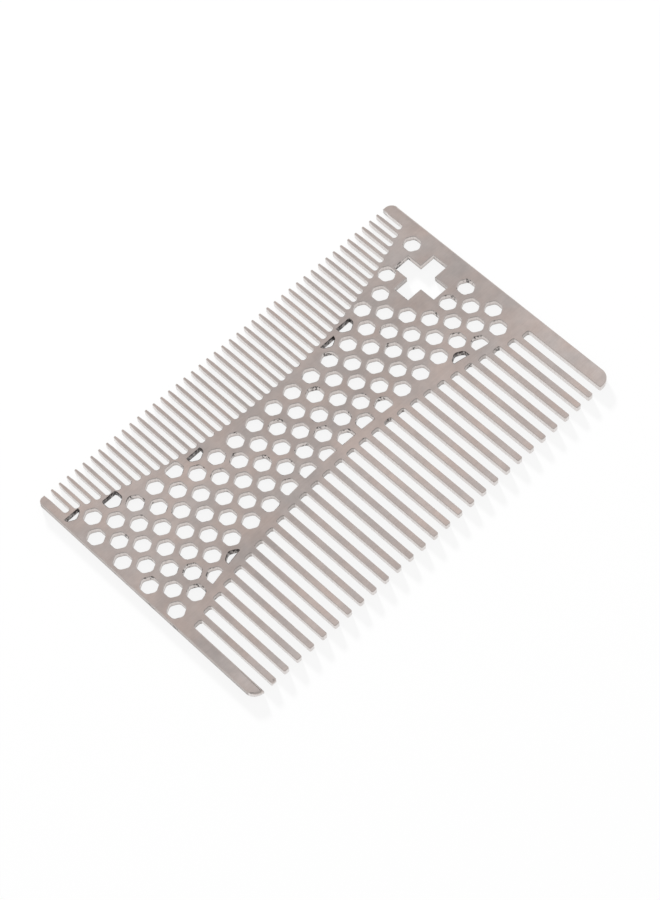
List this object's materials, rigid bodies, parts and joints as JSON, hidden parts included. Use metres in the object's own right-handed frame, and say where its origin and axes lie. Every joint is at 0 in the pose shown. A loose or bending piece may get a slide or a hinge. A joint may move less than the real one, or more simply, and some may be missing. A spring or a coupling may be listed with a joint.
{
  "type": "beard comb",
  "caption": "Flat card-size steel beard comb with fine teeth on one long edge, coarse teeth on the other, hexagon holes and a plus window between them.",
  "frame": {"origin": "middle of the comb's outline, on its underside", "axes": "+X along the comb's long side, towards the plus window; +Y towards the fine teeth; +Z out of the upper face"},
  "size_m": [0.0856, 0.054, 0.0013],
  "materials": {
    "steel": "satin, very fine grain"
  },
  "bodies": {
    "root": {"comb_plate": "steel"}
  },
  "joints": []
}
